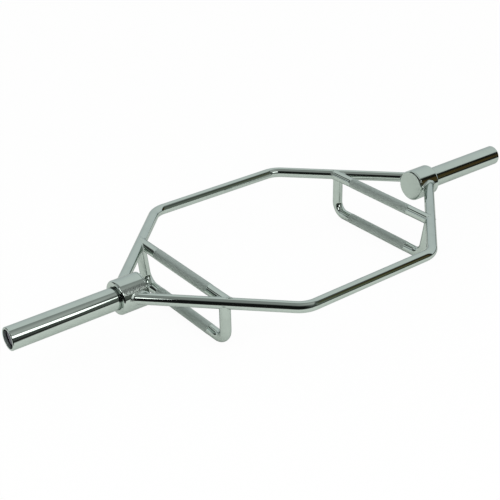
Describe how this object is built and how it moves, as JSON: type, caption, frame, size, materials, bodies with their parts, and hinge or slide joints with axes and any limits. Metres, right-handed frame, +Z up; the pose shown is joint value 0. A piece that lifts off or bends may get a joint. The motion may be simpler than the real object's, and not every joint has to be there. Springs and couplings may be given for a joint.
{
  "type": "hex trap bar",
  "caption": "Chrome hexagonal trap bar: bent frame welded to hubs, flush and drop knurled handles on each side, and turning plate sleeves at the ends.",
  "frame": {"origin": "on the floor under the middle of the bar, which stands on its drop handles", "axes": "+X along the sleeves to the right, +Y to the back, +Z up"},
  "size_m": [1.422, 0.589, 0.1478],
  "materials": {
    "chrome": "polished plating",
    "chrome_grip": "polished plating, diamond knurl on the grip",
    "chrome_weld": "plated weld bead",
    "bright_steel": "turned",
    "spring_steel": "black oxide",
    "bronze": "oiled sinter",
    "black_nylon": "moulded",
    "grey_plastic": "moulded"
  },
  "bodies": {
    "frame": {"rear_frame_bar": "chrome", "front_frame_bar": "chrome", "left_flush_handle": "chrome_grip", "left_drop_handle": "chrome_grip", "left_hub": "chrome", "left_hub_cap": "chrome", "left_hub_welds": "chrome_weld", "left_flush_handle_welds": "chrome_weld", "left_drop_handle_welds": "chrome_weld", "left_spindle": "bright_steel", "left_thrust_washer": "black_nylon", "left_retaining_washer": "bright_steel", "left_spindle_circlip": "spring_steel", "right_flush_handle": "chrome_grip", "right_drop_handle": "chrome_grip", "right_hub": "chrome", "right_hub_cap": "chrome", "right_hub_welds": "chrome_weld", "right_flush_handle_welds": "chrome_weld", "right_drop_handle_welds": "chrome_weld", "right_spindle": "bright_steel", "right_thrust_washer": "black_nylon", "right_retaining_washer": "bright_steel", "right_spindle_circlip": "spring_steel"},
    "left_sleeve_assembly": {"left_sleeve": "chrome", "left_inner_bush": "bronze", "left_outer_bush": "bronze", "left_end_cap": "grey_plastic", "left_end_cap_circlip": "spring_steel"},
    "right_sleeve_assembly": {"right_sleeve": "chrome", "right_inner_bush": "bronze", "right_outer_bush": "bronze", "right_end_cap": "grey_plastic", "right_end_cap_circlip": "spring_steel"}
  },
  "joints": [
    {"name": "left_sleeve_spin", "type": "hinge", "parent": "frame", "child": "left_sleeve_assembly", "pos_m": [-0.467, 0, 0.1098], "axis": [1, 0, 0], "continuous": true},
    {"name": "right_sleeve_spin", "type": "hinge", "parent": "frame", "child": "right_sleeve_assembly", "pos_m": [0.467, 0, 0.1098], "axis": [1, 0, 0], "continuous": true}
  ]
}
